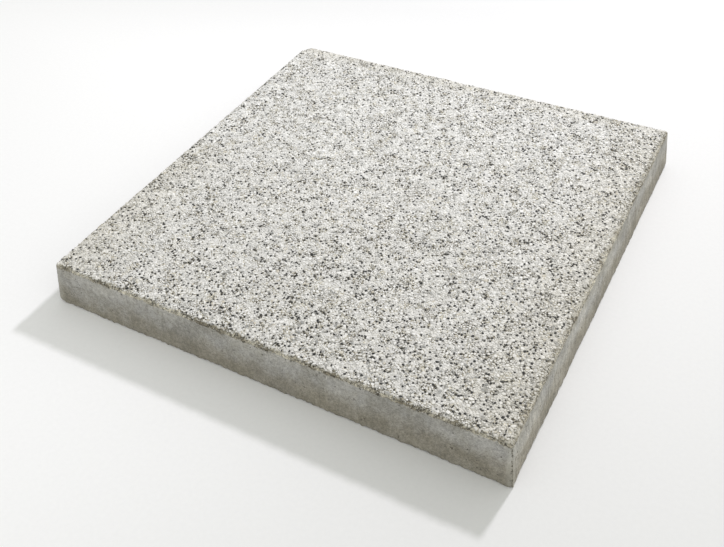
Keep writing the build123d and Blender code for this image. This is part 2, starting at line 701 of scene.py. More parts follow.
# %% [markdown]
# ## The shape of crushed stone
#
# A crushed chipping is a small angular lump with flat breaks. Each one starts as an icosahedron,
# which has 20 flat faces. A few planes at random cut it: points past a plane are pulled back onto it,
# which leaves a flat break. One more plane, nearly level, makes the flat that lay against the mould.
# Then the stone is stretched and turned, and set so that its crown has the height found above. All
# stones of one kind are made together as one array, so the whole face takes seconds. The finest ones
# start as an octahedron, because nobody sees more than its eight faces at that size.

# %% Shape the chippings
STONE_BREAKS = 4
BREAK_NEAREST, BREAK_FURTHEST = 0.5, 0.85
LEVEL_BREAK = 0.42
LEVEL_TILT = 0.22
TOP_SHARE_SEEN = 0.6
UNEVEN_CORNERS = (0.86, 1.14)
ANY_TURN = (0, 6.3)
LEVEL_BREAK_VARIES = (0.7, 1.5)
STRETCHES = [(1.0, 1.35), (0.75, 1.05), (0.7, 1.0)]


def octahedron():
    """Points and faces of the simplest lump, for the finest stones and the sand."""
    points = np.array([[1, 0, 0], [-1, 0, 0], [0, 1, 0], [0, -1, 0], [0, 0, 1], [0, 0, -1]], float)
    upper = [[0, 2, 4], [2, 1, 4], [1, 3, 4], [3, 0, 4]]
    lower = [[second, first, 5] for first, second, _ in upper]
    return points, np.array(upper + lower)


def turned_level(shape, angle):
    """Turn each stone about its upright axis."""
    c, s = np.cos(angle)[:, None], np.sin(angle)[:, None]
    x, y = shape[..., 0], shape[..., 1]
    return np.stack([c * x - s * y, s * x + c * y, shape[..., 2]], axis=-1)


def broken_by(shape, way, depth):
    """Pull the points of each stone that lie past its plane back onto the plane."""
    way = way / np.linalg.norm(way, axis=-1, keepdims=True)
    beyond = np.maximum(np.einsum("nij,nj->ni", shape, way) - depth[:, None], 0)
    return shape - beyond[..., None] * way[:, None]


def crushed(points, radii, rng):
    """The corners of every stone about its own middle, as an array of stones by points by three."""
    count = len(radii)
    uneven = points * rng.uniform(*UNEVEN_CORNERS, (count, len(points), 1))
    shape = turned_level(uneven, rng.uniform(*ANY_TURN, count))
    for _ in range(STONE_BREAKS):
        depth = rng.uniform(BREAK_NEAREST, BREAK_FURTHEST, count)
        shape = broken_by(shape, rng.standard_normal((count, 3)), depth)
    tilted = np.c_[LEVEL_TILT * rng.standard_normal((count, 2)), np.ones(count)]
    shape = broken_by(shape, tilted, LEVEL_BREAK * rng.uniform(*LEVEL_BREAK_VARIES, count))
    stretch = np.stack([rng.uniform(*limits, count) for limits in STRETCHES], axis=-1)
    shape = shape * stretch[:, None] * radii[:, None, None]
    return turned_level(shape, rng.uniform(*ANY_TURN, count))


def set_in_face(shape, places, crowns):
    """Put the stones at their places, each with its crown at its height and its foot in the bed."""
    top = shape[..., 2].max(axis=1)
    height = top - shape[..., 2].min(axis=1)
    crown = np.minimum(crowns, BED_HEIGHT + TOP_SHARE_SEEN * height)
    return held_back(shape + np.c_[places, crown - top][:, None])


def held_back(shape):
    """Stones that stand out past the mould wall are pushed in."""
    for axis in (0, 1):
        over = np.maximum(shape[..., axis].max(axis=1) - HALF_FACE, 0)
        under = np.maximum(-HALF_FACE - shape[..., axis].min(axis=1), 0)
        shape[..., axis] += (under - over)[:, None]
    return shape


print("a chipping has", len(ball(1)[1]), "faces and a grit grain", len(octahedron()[1]))

# %% [markdown]
# ## Kinds of stone
#
# The chippings are a mix of white marble, pale limestone, granites and a nearly black basalt, with a
# few buff ones. The mix isn't even: there are slow clouds with more dark stones, and more of them
# towards the edges and the front corner. The extra dark stones towards the front corner are painted
# shade, where the lamp behind the slab gives less light. Each kind becomes one mesh, so that it can
# have a finish of its own, and each stone keeps a random tone in an attribute of its faces, which the
# finish reads.

# %% Sort the stones into kinds
KINDS = ["white", "cream", "pale_grey", "mid_grey", "dark", "buff"]
SHARES = [0.28, 0.235, 0.205, 0.10, 0.165, 0.015]
FINE = -1
CLOUD_STRENGTH = 0.12
EDGE_STRENGTH, EDGE_MEAN = 0.4, 0.4
# Painted shade: more dark stones towards the front corner, where the lamp gives less light.
FRONT_PAINTED_SHADE = 0.4
EDGE_BAND = 90 * MM
DARK_LARGEST = 3.7 * MM


def kinds_of_stones(x, y, radii, lots):
    """The number of the kind of each stone. The larger ones are seldom dark."""
    edge = EDGE_STRENGTH * (np.exp(-edge_distance(x, y) / EDGE_BAND) - EDGE_MEAN)
    # The share that grows towards the front corner is painted shade.
    clouds_edges_and_shade = CLOUD_STRENGTH * flat_noise(x, y, CLOUD_CELL, 71) + edge + FRONT_PAINTED_SHADE * to_front(x, y)
    shares = np.repeat(np.array(SHARES)[:, None], len(x), axis=1)
    for kind in ("mid_grey", "dark", "buff"):
        shares[KINDS.index(kind)] *= 1 + clouds_edges_and_shade
    shares[KINDS.index("dark")] *= np.clip((DARK_LARGEST - 2 * radii) / MM, 0, 1)
    shares /= shares.sum(axis=0)
    return (lots > shares.cumsum(axis=0)).sum(axis=0)


stone_kinds = np.where(fine, FINE, kinds_of_stones(*stone_places.T, stone_radii, stone_lots))
for number, kind in enumerate(KINDS):
    print(kind, "stones:", (stone_kinds == number).sum())

# %% [markdown]
# A model that leaves Blender needs its colours as a picture, so each mesh gets a map for it. Each
# stone has a square cell of its own in the map. One half of the cell holds what is seen from above,
# the other half what is seen from below, both spread out by the angle from the pole, so that the
# steep faces keep some width.

# %% Turn stones into pieces
MAP_NAME = "OFBake"
WIDEST_ANGLE = 2.4
HALF_CELL_FILL = 0.46


def stone_map(shape, faces):
    """Map places of every corner of every face, with a cell for each stone."""
    count = len(shape)
    across = math.ceil(math.sqrt(count))
    way = shape - shape.mean(axis=1, keepdims=True)
    way = way[:, faces]
    way /= np.linalg.norm(way, axis=-1, keepdims=True)
    upper = np.cross(way[:, :, 1] - way[:, :, 0], way[:, :, 2] - way[:, :, 0])[..., 2] > 0
    pole = np.where(upper, 1, -1)[..., None]
    angle = np.arccos(np.clip(pole * way[..., 2], -1, 1)) / WIDEST_ANGLE
    level = way[..., :2] / np.maximum(np.linalg.norm(way[..., :2], axis=-1, keepdims=True), 1e-6)
    spot = 0.5 + HALF_CELL_FILL * np.clip(angle, 0, 1)[..., None] * level
    u = 0.5 * spot[..., 0] + np.where(upper, 0, 0.5)[..., None]
    column, row = np.arange(count) % across, np.arange(count) // across
    cell = np.stack([column, row], axis=-1)[:, None, None]
    return ((np.stack([u, spot[..., 1]], axis=-1) + cell) / across).reshape(-1, 2)


def stones_piece(name, shape, faces, tones):
    """One mesh of many stones, each with its own tone."""
    every = faces + shape.shape[1] * np.arange(len(shape))[:, None, None]
    piece = new_piece(name, shape.reshape(-1, 3), every.reshape(-1, 3).tolist())
    tone = piece.data.attributes.new("tone", "FLOAT", "FACE")
    tone.data.foreach_set("value", np.repeat(tones, len(faces)))
    own_map = piece.data.uv_layers.new(name=MAP_NAME)
    own_map.data.foreach_set("uv", stone_map(shape, faces).ravel())
    return piece


def laid_stones(name, solid, radii, places, crowns, rng, tones=None):
    """One mesh of stones that lie in the face. Their tones are random where none are given."""
    points, faces = solid
    shape = set_in_face(crushed(points, radii, rng), places, crowns)
    if tones is None:
        tones = rng.random(len(shape))
    return stones_piece(name, shape, faces, tones)


chippings = {}
for number, kind in enumerate(KINDS):
    mine = stone_kinds == number
    chippings[kind] = laid_stones(
        kind + "_chippings", ball(1), stone_radii[mine], stone_places[mine], crowns[mine],
        np.random.default_rng(80 + number))
    print(chippings[kind].name, len(chippings[kind].data.polygons), "faces")

# %% [markdown]
# The fine chippings are too many to be sorted. They go into one mesh with their lots as their tones,
# and their finish later picks a colour for each by it.

# %% Fine chippings
FINE_FULLER = 1.22

fine_chippings = laid_stones(
    "fine_chippings", octahedron(), FINE_FULLER * stone_radii[fine], stone_places[fine], crowns[fine],
    np.random.default_rng(87), stone_lots[fine])
print(fine_chippings.name, len(fine_chippings.data.polygons), "faces")

# %% [markdown]
# Between the chippings the wash leaves coarse sand standing out of the cement. These grains are too
# small to need more than eight faces each.

# %% Coarse sand in the bed
GRIT_COUNT = 7000
GRIT_SMALLEST, GRIT_LARGEST = 0.4 * MM, 0.9 * MM
GRIT_DEPTH = 0.45 * MM


def grit():
    """The grains of sand between the stones, as one piece."""
    rng = np.random.default_rng(91)
    places = rng.uniform(-HALF_FACE, HALF_FACE, (GRIT_COUNT, 2))
    radii = rng.uniform(GRIT_SMALLEST, GRIT_LARGEST, GRIT_COUNT)
    kept = still_there(*places.T, 2 * radii, rng)
    crowns = crown_height(*places[kept].T, rng) - GRIT_DEPTH
    return laid_stones("sand_grit", octahedron(), radii[kept], places[kept], crowns, rng)


sand_grit = grit()
print(sand_grit.name, len(sand_grit.data.polygons), "faces")

# %% [markdown]
# The wash also reaches a few millimetres down the sides, and bares grains in the worn arris. They are
# set into the swept wall: each lies at a column, a little below the bed, sunk in by most of its size.

# %% Grains in the arris
ARRIS_GRAINS = 3600
GRAIN_SMALLEST, GRAIN_LARGEST = 0.35 * MM, 1.25 * MM
GRAIN_BAND = 4.6 * MM
GRAINS_SMALL, GRAINS_HIGH = 1.5, 1.6
GRAIN_SUNK = 0.62
ARRIS_WORN = 0.5 * STONE_ARRIS


def arris_grains():
    """Small grains that stand out of the arris of the face, all round."""
    rng = np.random.default_rng(95)
    points, faces = octahedron()
    column = rng.integers(0, len(roots), ARRIS_GRAINS)
    radii = skewed(rng, GRAIN_SMALLEST, GRAIN_LARGEST, ARRIS_GRAINS, GRAINS_SMALL)
    depth = skewed(rng, 0, GRAIN_BAND, ARRIS_GRAINS, GRAINS_HIGH)
    worn = np.clip(1 - depth / STONE_ARRIS, 0, 1) ** 2 * ARRIS_WORN
    reach = UPRIGHT_RADIUS - worn - GRAIN_SUNK * radii
    middles = at_columns(column, reach, BED_HEIGHT - depth)
    kept = beyond_break(middles, break_planes()[0]) < -radii
    shape = crushed(points, radii[kept], rng) + middles[kept][:, None]
    return stones_piece("arris_grains", shape, faces, rng.random(len(shape)))


arris_grit = arris_grains()
print(arris_grit.name, len(arris_grit.data.polygons), "faces")

# %% [markdown]
# The body needs a map as well. Each face is laid out from the one of six directions that it faces
# most, which keeps every face wide. The sides show most, so they get most of the map: four strips of
# full width. The bed and the foot share the rest.

# %% Map of the body
STRIP_TALL = 0.12
FLAT_WIDE = 0.48
MAP_MARGIN = 0.01
WAYS = [[0, -1, 0], [1, 0, 0], [0, 1, 0], [-1, 0, 0], [0, 0, 1], [0, 0, -1]]


def body_map(piece):
    """Lay the body out as four side strips and two flats."""
    mesh = piece.data
    normals = np.array([face.normal for face in mesh.polygons])
    side = (normals @ np.array(WAYS, float).T).argmax(axis=1)
    side = np.repeat(side, [face.loop_total for face in mesh.polygons])
    corner = np.array([mesh.vertices[loop.vertex_index].co for loop in mesh.loops])
    x, y, z = (corner / (2 * HALF_SLAB * (1 + MAP_MARGIN))).T
    along = np.choose(side, [x, y, -x, -y, x, x])
    up = np.where(side < 4, z, y + 0.5)
    wide = np.where(side < 4, 1, FLAT_WIDE)
    left = np.choose(side, [0, 0, 0, 0, MAP_MARGIN, 0.5 + MAP_MARGIN])
    strips = [MAP_MARGIN + strip * STRIP_TALL for strip in range(4)]
    bottom = np.choose(side, strips + [0.5, 0.5])
    on_map = np.stack([left + wide * (along + 0.5), bottom + wide * up], axis=-1)
    mesh.uv_layers.new(name=MAP_NAME).data.foreach_set("uv", on_map.ravel())


body_map(cast_body)
print("the body has a map of", len(cast_body.data.loops), "corners")

# %% [markdown]
# ## Finishes
#
# Every finish here is a small set of shader nodes. Building nodes in code is wordy, so a few helpers
# keep it short: `add` places a node and fills its inputs, `mix` blends two colours, `tinted`
# multiplies one by another, and `between` turns a value into a share from 0 to 1.

# %% Helpers for shader nodes
def add(tree, kind, inputs=None, **settings):
    """Place a node, set its properties, and link or fill its inputs."""
    new = tree.nodes.new(kind)
    for name, value in settings.items():
        setattr(new, name, value)
    for name, value in (inputs or {}).items():
        if isinstance(value, bpy.types.NodeSocket):
            tree.links.new(value, new.inputs[name])
        else:
            new.inputs[name].default_value = value
    return new


def mix(tree, factor, first, second, way="MIX"):
    """Blend two colours."""
    inputs = {0: factor, 6: first, 7: second}
    return add(tree, "ShaderNodeMix", inputs, data_type="RGBA", blend_type=way).outputs[2]


def tinted(tree, colour, tint, share=1.0):
    """A colour times a tint, or a share of the way to it."""
    return mix(tree, share, colour, tint, "MULTIPLY")


def between(tree, value, low, high):
    """A share that rises smoothly from 0 at low to 1 at high."""
    inputs = {"Value": value, "From Min": low, "From Max": high}
    return add(tree, "ShaderNodeMapRange", inputs, interpolation_type="SMOOTHSTEP").outputs[0]


def maths(tree, operation, first, second=0.0):
    """One step of arithmetic."""
    return add(tree, "ShaderNodeMath", {0: first, 1: second}, operation=operation).outputs[0]


def times(tree, first, second):
    """The product of two values."""
    return maths(tree, "MULTIPLY", first, second)


def coordinates(tree, vector):
    """The x, y and z of a vector."""
    return add(tree, "ShaderNodeSeparateXYZ", {0: vector}).outputs


def total(tree, *values):
    """The sum of several values."""
    result = values[0]
    for value in values[1:]:
        result = maths(tree, "ADD", result, value)
    return result


def rgba(red, green, blue):
    """A colour as a shader socket takes it."""
    return (red, green, blue, 1)


def new_group(name, inputs, outputs):
    """A shader node group with named sockets. Gives the tree, its inputs and its outputs."""
    tree = bpy.data.node_groups.new(name, "ShaderNodeTree")
    kinds = {"Colour": "NodeSocketColor", "Vector": "NodeSocketVector", "Value": "NodeSocketFloat"}
    for title, kind in inputs.items():
        tree.interface.new_socket(title, in_out="INPUT", socket_type=kinds[kind])
    for title, kind in outputs.items():
        tree.interface.new_socket(title, in_out="OUTPUT", socket_type=kinds[kind])
    return tree, add(tree, "NodeGroupInput").outputs, add(tree, "NodeGroupOutput").inputs


def use(tree, group, inputs):
    """Place a node group."""
    return add(tree, "ShaderNodeGroup", inputs, node_tree=group).outputs


print("helpers for nodes ready")

# %% [markdown]
# Concrete shows noise of many kinds: borders that wander or look torn, patches, and spots. Each kind
# has a helper, and all take their sizes in metres.

# %% Helpers for noise
TORN_COARSE, TORN_FINE = 9 * MM, 2.2 * MM
SPOT_OUTER, SPOT_INNER = 1.15, 0.7
PATCHES = (0.42, 0.6)


def noise_at(tree, vector, size, detail=3.0, roughness=0.55):
    """Blender's own noise, with a size in metres. It stays near 0.5, mostly between 0.3 and 0.7."""
    inputs = {"Vector": vector, "Scale": 1 / size, "Detail": detail, "Roughness": roughness}
    return add(tree, "ShaderNodeTexNoise", inputs).outputs[0]


def sway(tree, vector, size, amount):
    """Noise about 0 that reaches about the given amount either way."""
    centred = maths(tree, "SUBTRACT", noise_at(tree, vector, size), 0.5)
    return times(tree, centred, 4 * amount)


def torn(tree, vector, value, coarse, fine):
    """A value that sways coarsely and finely, so that a border found from it looks torn."""
    return total(tree, value, sway(tree, vector, TORN_COARSE, coarse), sway(tree, vector, TORN_FINE, fine))


def cells_at(tree, vector, size):
    """Cells of a size: the distance from the middle of the cell, and the lot that the cell draws."""
    cells = add(tree, "ShaderNodeTexVoronoi", {"Vector": vector, "Scale": 1 / size}).outputs
    lot = add(tree, "ShaderNodeSeparateColor", {0: cells["Color"]}).outputs[0]
    return cells["Distance"], lot


def spots(tree, vector, size, radius, share):
    """Round spots of a radius, in a share of the cells of a size. 1 in a spot, 0 outside."""
    distance, lot = cells_at(tree, vector, size)
    near = between(tree, distance, SPOT_OUTER * radius / size, SPOT_INNER * radius / size)
    return times(tree, near, maths(tree, "LESS_THAN", lot, share))


def patches(tree, vector, size):
    """A share that is 1 in patches of about a size, and 0 between them."""
    return between(tree, noise_at(tree, vector, size), *PATCHES)


print("helpers for noise ready")

# %% [markdown]
# The first shared effect is cement paste: a grey with slow clouds, a mottling of a few millimetres,
# upright streaks where water ran down the mould, a grain of sand, pores darkened with painted shade
# and pale specks. The bed and the skin of the sides both start from it. A picture of concrete would
# be quicker, but it has one size and repeats. Noise in real millimetres doesn't.

# %% Node group: cement paste
CLOUD_SIZE, CLOUDS = 16 * MM, (0.35, 0.65)
MOTTLE_SIZE, SAND_SIZE = 4 * MM, 1.1 * MM
STREAK_SIZE, STREAK_LENGTHENS = 3.2 * MM, (1.0, 1.0, 0.14)
PORE_CLUSTER = 26 * MM
PORE_NET, PORE_RADIUS, PORE_SHARE = 4.8 * MM, 0.7 * MM, 0.5
# Painted shade: pores are dark spots, the shade inside holes too small to model.
PORE_SHADE, PORE_SHADE_STRENGTH = rgba(0.07, 0.065, 0.05), 0.8
SPECK_NET, SPECK_RADIUS, SPECK_SHARE = 5.5 * MM, 0.6 * MM, 0.22
SPECK_PALE, SPECK_STRENGTH = rgba(0.66, 0.64, 0.58), 0.6
FINE_SIZE, FINE_ROUGHNESS = 0.8 * MM, 0.7
MUCH_DETAIL = 4.0
GRAINS_STAND_OUT, PORES_LIE_DEEP = -0.5, -2.0


def cement_group():
    """Concrete without its stones, between a deep and a pale colour."""
    tree, given, result = new_group(
        "Cement paste",
        {"Vector": "Vector", "Pale": "Colour", "Deep": "Colour", "Mottle": "Value", "Streaks": "Value",
         "Sand": "Value", "Pores": "Value"},
        {"Colour": "Colour", "Height": "Value"},
    )
    vector = given["Vector"]
    clouds = between(tree, noise_at(tree, vector, CLOUD_SIZE, MUCH_DETAIL), *CLOUDS)
    clouded = mix(tree, clouds, given["Deep"], given["Pale"])
    upright = add(tree, "ShaderNodeMapping", {"Vector": vector, "Scale": STREAK_LENGTHENS}).outputs[0]
    mottle = times(tree, sway(tree, vector, MOTTLE_SIZE, 1.0), given["Mottle"])
    streaks = times(tree, sway(tree, upright, STREAK_SIZE, 1.0), given["Streaks"])
    grain_distance, grain_lot = cells_at(tree, vector, SAND_SIZE)
    sand = times(tree, maths(tree, "SUBTRACT", grain_lot, 0.5), given["Sand"])
    sandy = tinted(tree, clouded, total(tree, 1.0, mottle, streaks, sand))
    clustered = patches(tree, vector, PORE_CLUSTER)
    pore = times(tree, spots(tree, vector, PORE_NET, PORE_RADIUS, PORE_SHARE), given["Pores"])
    pore = times(tree, pore, clustered)
    speck = times(tree, spots(tree, upright, SPECK_NET, SPECK_RADIUS, SPECK_SHARE), given["Pores"])
    # Painted shade in the pores.
    pore_shaded = mix(tree, times(tree, pore, PORE_SHADE_STRENGTH), sandy, PORE_SHADE)
    specked = mix(tree, times(tree, speck, SPECK_STRENGTH), pore_shaded, SPECK_PALE)
    fine = noise_at(tree, vector, FINE_SIZE, MUCH_DETAIL, FINE_ROUGHNESS)
    grains = times(tree, grain_distance, GRAINS_STAND_OUT)
    height = total(tree, fine, grains, times(tree, pore, PORES_LIE_DEEP))
    tree.links.new(specked, result["Colour"])
    tree.links.new(height, result["Height"])
    return tree


cement_paste = cement_group()
print(cement_paste.name, [socket.name for socket in cement_paste.interface.items_tree])

# %% [markdown]
# The second shared effect is crushed stone. Its colour runs between two tones: most of that comes
# from the tone that each stone keeps in its attribute, and the rest from a fine mottling like
# crystals. Low on each stone, where the brush didn't reach, a film of cement stays on it.

# %% Node group: crushed stone
CRYSTAL_SIZE = 0.8 * MM
TONE_SHARE = 0.5
FILM_SWAY_SIZE, FILM_SWAY, FILM_EDGE = 1.2 * MM, 0.3 * MM, 0.3 * MM


def stone_group():
    """Rock between two colours, with a film of cement low on it."""
    tree, given, result = new_group(
        "Crushed stone",
        {"Vector": "Vector", "Tone": "Value", "First": "Colour", "Second": "Colour", "Film": "Colour",
         "Clean Above": "Value"},
        {"Colour": "Colour", "Height": "Value"},
    )
    vector = given["Vector"]
    crystal_distance, crystal_lot = cells_at(tree, vector, CRYSTAL_SIZE)
    own = times(tree, given["Tone"], TONE_SHARE)
    share = total(tree, own, times(tree, crystal_lot, 1 - TONE_SHARE))
    stone = mix(tree, share, given["First"], given["Second"])
    height = coordinates(tree, vector)[2]
    height = total(tree, height, sway(tree, vector, FILM_SWAY_SIZE, FILM_SWAY))
    above = maths(tree, "SUBTRACT", height, given["Clean Above"])
    filmed = mix(tree, between(tree, above, -FILM_EDGE, FILM_EDGE), given["Film"], stone)
    tree.links.new(filmed, result["Colour"])
    tree.links.new(crystal_distance, result["Height"])
    return tree


crushed_stone = stone_group()
print(crushed_stone.name, [socket.name for socket in crushed_stone.interface.items_tree])

# %% [markdown]
# The third shared effect is what weather and washing left over the whole face, with painted shade.
# Tan cement stays on the outermost stones, where the wash ran off over the arris, with a torn border,
# and reaches further in along the right side. The face is painted darker and faintly browner towards
# the front corner, most of all on its left front side: this is painted shade, where the lamp behind
# the slab gives less light. A border along the right side, one along the front half of the left side
# and a narrow one along the back are a little darker. All of it is found from the place alone, so
# stones and cement wear it alike.

# %% Node group: weathering and painted shade
TAN_INSIDE, TAN_OUTSIDE = 3.4 * MM, 0.4 * MM
TAN_WIDER_ON_RIGHT = 2.4 * MM
TAN_ON_RIGHT = (HALF_FACE - 14 * MM, HALF_FACE - 4 * MM)
TAN_TORN = (2.1 * MM, 1.5 * MM)
ARRIS_TAN = rgba(0.42, 0.395, 0.33)
# Painted shade: the face darkens towards the front corner and the right, where the lamp gives less light.
FALLOFF_SHADE = rgba(0.85, 0.84, 0.82)
FALLOFF_SHADE_TO_RIGHT, FALLOFF_SHADE_TO_LEFT_FRONT = 0.17, 0.26
FALLOFF_SHADE_RISES = (-0.36, 0.59)
# The borders of the face are a little darker.
BORDER_DARKER = rgba(0.938, 0.926, 0.895)
BORDER_WIDTH = 80 * MM
BORDER_SWAY_SIZE, BORDER_SWAY = 45 * MM, 14 * MM
LEFT_FADES = (30 * MM, -60 * MM)
RIGHT_FADES = (HALF_FACE + 15 * MM, HALF_FACE - 60 * MM)
BACK_BORDER_WIDTH = 30 * MM
BACK_SWAY_SIZE, BACK_SWAY = 30 * MM, 5 * MM


def weathering_and_shade_group():
    """A colour as the weather and the washing changed it, with painted shade, by its place on the face."""
    tree, given, result = new_group(
        "Weathering and shade", {"Vector": "Vector", "Colour": "Colour", "Tan": "Value"}, {"Colour": "Colour"})
    vector = given["Vector"]
    x, y, _ = coordinates(tree, vector)
    furthest = maths(tree, "MAXIMUM", maths(tree, "ABSOLUTE", x), maths(tree, "ABSOLUTE", y))
    inside = maths(tree, "SUBTRACT", HALF_FACE, furthest)
    wider = times(tree, between(tree, x, *TAN_ON_RIGHT), -TAN_WIDER_ON_RIGHT)
    border = torn(tree, vector, total(tree, inside, wider), *TAN_TORN)
    tan = times(tree, between(tree, border, TAN_INSIDE, TAN_OUTSIDE), given["Tan"])
    # Painted shade towards the front corner, where the lamp gives less light.
    to_right = times(tree, x, FALLOFF_SHADE_TO_RIGHT / HALF_FACE)
    front = total(tree, to_right, times(tree, y, -FALLOFF_SHADE_TO_LEFT_FRONT / HALF_FACE))
    falloff_shaded = tinted(tree, given["Colour"], FALLOFF_SHADE, between(tree, front, *FALLOFF_SHADE_RISES))
    wandering = total(tree, x, sway(tree, vector, BORDER_SWAY_SIZE, BORDER_SWAY))
    right = between(tree, wandering, HALF_FACE - BORDER_WIDTH, HALF_FACE)
    right = times(tree, right, between(tree, y, *RIGHT_FADES))
    left = between(tree, wandering, BORDER_WIDTH - HALF_FACE, -HALF_FACE)
    left = times(tree, left, between(tree, y, *LEFT_FADES))
    back = total(tree, y, sway(tree, vector, BACK_SWAY_SIZE, BACK_SWAY))
    back = between(tree, back, HALF_FACE - BACK_BORDER_WIDTH, HALF_FACE)
    darker_borders = maths(tree, "MAXIMUM", maths(tree, "MAXIMUM", right, left), back)
    bordered = tinted(tree, falloff_shaded, BORDER_DARKER, darker_borders)
    tree.links.new(mix(tree, tan, bordered, ARRIS_TAN), result["Colour"])
    return tree


weathering_and_shade = weathering_and_shade_group()
print(weathering_and_shade.name, [socket.name for socket in weathering_and_shade.interface.items_tree])

# %% [markdown]
# Each kind of stone places the two groups with its own two tones. Fine stones and sand are mixed in
# one mesh, so there the tone of each grain picks its colour from a row of them.

# %% Finishes of the stones
CEMENT_FILM = rgba(0.80, 0.79, 0.765)
TAN_ON_STONES = 0.42
BUMP_DEPTH = 0.12 * MM
FACE_CLEAN_ABOVE = BED_HEIGHT + 0.25 * MM
STONE_SHINE = 0.25
GRAIN_TONE, GRAIN_DEEPER, GRAIN_ROUGHNESS = 0.5, rgba(0.82, 0.82, 0.81), 0.75


def new_material(name):
    """An empty node material: the material, its tree, its shader and the place of each point."""
    material = bpy.data.materials.new(name)
    material.use_nodes = True
    tree = material.node_tree
    shader = tree.nodes["Principled BSDF"]
    vector = add(tree, "ShaderNodeTexCoord").outputs["Object"]
    return material, tree, shader, vector


def finish(tree, shader, colour, height, roughness, depth):
    """Link a colour and a bump to the shader, with a roughness."""
    bump = add(tree, "ShaderNodeBump", {"Height": height, "Distance": depth})
    tree.links.new(colour, shader.inputs["Base Color"])
    tree.links.new(bump.outputs[0], shader.inputs["Normal"])
    shader.inputs["Roughness"].default_value = roughness


def tone_of(tree):
    """The tone that each stone keeps."""
    return add(tree, "ShaderNodeAttribute", attribute_name="tone").outputs["Fac"]


def stone_finish(parts, tone, first, second, roughness, clean_above, tan):
    """Finish a new material as crushed stone between two tones, worn by the weather and given painted
    shade.
    """
    material, tree, shader, vector = parts
    stone = use(tree, crushed_stone, {"Vector": vector, "Tone": tone, "First": first, "Second": second,
                                      "Film": CEMENT_FILM, "Clean Above": clean_above})
    # The weathering group also paints shade towards the front corner.
    worn = use(tree, weathering_and_shade, {"Vector": vector, "Colour": stone["Colour"], "Tan": tan})
    finish(tree, shader, worn["Colour"], stone["Height"], roughness, BUMP_DEPTH)
    shader.inputs["Specular IOR Level"].default_value = STONE_SHINE
    return material


def stone_material(name, first, second, roughness, clean_above=FACE_CLEAN_ABOVE):
    """One kind of stone, whose stones lie between two tones."""
    parts = new_material(name)
    return stone_finish(parts, tone_of(parts[1]), first, second, roughness, clean_above, TAN_ON_STONES)


def mixed_material(name, colours, clean_above, tan):
    """Grains of several stones: the tone of a grain picks one colour of the row."""
    parts = new_material(name)
    tree = parts[1]
    ramp = add(tree, "ShaderNodeValToRGB", {0: tone_of(tree)})
    ramp.color_ramp.interpolation = "CONSTANT"
    while len(ramp.color_ramp.elements) < len(colours):
        ramp.color_ramp.elements.new(1.0)
    for number, colour in enumerate(colours):
        ramp.color_ramp.elements[number].position = number / len(colours)
        ramp.color_ramp.elements[number].color = colour
    picked = ramp.outputs[0]
    deeper = tinted(tree, picked, GRAIN_DEEPER)
    return stone_finish(parts, GRAIN_TONE, deeper, picked, GRAIN_ROUGHNESS, clean_above, tan)


WHITE, PALE = rgba(0.985, 0.98, 0.97), rgba(0.86, 0.855, 0.84)
SANDY, GREY, BLACK = rgba(0.76, 0.75, 0.72), rgba(0.37, 0.37, 0.37), rgba(0.03, 0.03, 0.03)
DARK_CLEAN_ABOVE = BED_HEIGHT - 0.1 * MM
FINE_CLEAN_ABOVE, SAND_CLEAN_ABOVE = FACE_CLEAN_ABOVE - 0.2 * MM, FACE_CLEAN_ABOVE - 0.4 * MM
TAN_ON_ARRIS_GRAINS = 0.36
stone_materials = {
    "white": stone_material("white_marble", PALE, WHITE, 0.5),
    "cream": stone_material("pale_limestone", SANDY, rgba(0.91, 0.90, 0.87), 0.7),
    "pale_grey": stone_material("pale_granite", rgba(0.60, 0.60, 0.60), rgba(0.84, 0.835, 0.82), 0.6),
    "mid_grey": stone_material("grey_granite", rgba(0.22, 0.224, 0.22), rgba(0.52, 0.52, 0.505), 0.6),
    "dark": stone_material("dark_basalt", rgba(0.012, 0.013, 0.014), rgba(0.065, 0.065, 0.064), 0.6,
                           DARK_CLEAN_ABOVE),
    "buff": stone_material("buff_quartz", rgba(0.55, 0.50, 0.41), rgba(0.78, 0.74, 0.65), 0.55),
}
for kind, piece in chippings.items():
    piece.data.materials.append(stone_materials[kind])
fine_row = 2 * [BLACK] + [GREY] + 3 * [SANDY] + 5 * [PALE] + 4 * [WHITE]
sand_row = [BLACK, GREY] + 3 * [SANDY] + 3 * [PALE] + 2 * [WHITE]
arris_row = 3 * [BLACK] + [GREY] + 3 * [SANDY] + [PALE, WHITE]
for piece, name, row, clean_above, tan in [
    (fine_chippings, "fine_stone", fine_row, FINE_CLEAN_ABOVE, TAN_ON_STONES),
    (sand_grit, "washed_sand", sand_row, SAND_CLEAN_ABOVE, TAN_ON_STONES),
    (arris_grit, "arris_sand", arris_row, 0.0, TAN_ON_ARRIS_GRAINS),
]:
    piece.data.materials.append(mixed_material(name, row, clean_above, tan))
print(len(bpy.data.materials), "finishes")

# %% [markdown]
# ## The finish of the casting
#
# One material covers the whole body, as one concrete does, but it changes with the height. The skin
# of the sides is a bluish grey above and a darker, browner grey towards the foot, and the border
# between the two wanders up and down. The light grazes the right side, and there the skin is painted
# with light and shade: a paler belt half way up is painted light, and a darker strip under the arris
# and a slightly darker rest are painted shade. The right side also has more streaks.

# %% Skin of the sides
SKIN_UPPER = rgba(0.374, 0.365, 0.346)
SKIN_LOWER = rgba(0.285, 0.264, 0.220)
SKIN_TOP = rgba(0.41, 0.398, 0.371)
SKIN_DEEP = rgba(0.85, 0.84, 0.80)
HIGHER_TO_FRONT = 7 * MM
